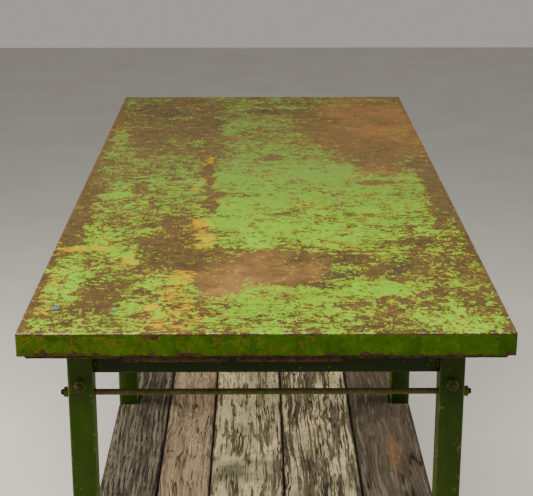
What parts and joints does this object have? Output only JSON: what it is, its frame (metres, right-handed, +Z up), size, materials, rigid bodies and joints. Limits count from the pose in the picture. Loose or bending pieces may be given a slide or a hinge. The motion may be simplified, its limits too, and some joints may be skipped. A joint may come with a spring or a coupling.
{
  "type": "potting bench",
  "caption": "Long workbench with a flaking painted sheet-steel top on thick boards, welded square-tube frames, threaded tie rods and a lower shelf of old planks.",
  "frame": {"origin": "on the floor under the middle of the worktop", "axes": "+X across the bench, +Y along it towards the far end, +Z up; the near end, with the middle frame closer to it, is at -Y"},
  "size_m": [0.76, 1.8, 0.86],
  "materials": {
    "top_paint": "flaking yellow-green paint over rusty steel",
    "frame_paint": "worn dark green paint with rusty chips",
    "top_timber": "rough sawn, dark and dirty",
    "rod_steel": "dull, part rusted, traces of green paint",
    "nut_steel": "dull steel over-painted green",
    "plank_grey_brown": "weathered grey brown, raised grain",
    "plank_pink_brown": "weathered pinkish brown",
    "plank_cream": "remains of old cream paint",
    "plank_cream_grey": "remains of old cream paint, greyer",
    "plank_dark_brown": "weathered dark brown with a rust stain"
  },
  "bodies": {
    "root": {"cross_nut_far_left": "nut_steel", "cross_nut_far_right": "nut_steel", "cross_nut_middle_left": "nut_steel", "cross_nut_middle_right": "nut_steel", "cross_nut_near_left": "nut_steel", "cross_nut_near_right": "nut_steel", "cross_rail_far": "frame_paint", "cross_rail_middle": "frame_paint", "cross_rail_near": "frame_paint", "cross_rod_far": "rod_steel", "cross_rod_middle": "rod_steel", "cross_rod_near": "rod_steel", "leg_far_left": "frame_paint", "leg_far_right": "frame_paint", "leg_middle_left": "frame_paint", "leg_middle_right": "frame_paint", "leg_near_left": "frame_paint", "leg_near_right": "frame_paint", "shelf_bearer_far": "frame_paint", "shelf_bearer_middle": "frame_paint", "shelf_bearer_near": "frame_paint", "shelf_plank_1": "plank_grey_brown", "shelf_plank_2": "plank_pink_brown", "shelf_plank_3": "plank_cream", "shelf_plank_4": "plank_cream_grey", "shelf_plank_5": "plank_dark_brown", "side_nut_far_left": "nut_steel", "side_nut_far_right": "nut_steel", "side_nut_near_left": "nut_steel", "side_nut_near_right": "nut_steel", "side_rail_far_left": "frame_paint", "side_rail_far_right": "frame_paint", "side_rail_near_left": "frame_paint", "side_rail_near_right": "frame_paint", "side_rod_left": "rod_steel", "side_rod_right": "rod_steel", "side_washer_far_left": "nut_steel", "side_washer_far_right": "nut_steel", "side_washer_near_left": "nut_steel", "side_washer_near_right": "nut_steel", "top_board_1": "top_timber", "top_board_2": "top_timber", "top_board_3": "top_timber", "top_board_4": "top_timber", "top_board_5": "top_timber", "top_sheet": "top_paint"}
  },
  "joints": []
}
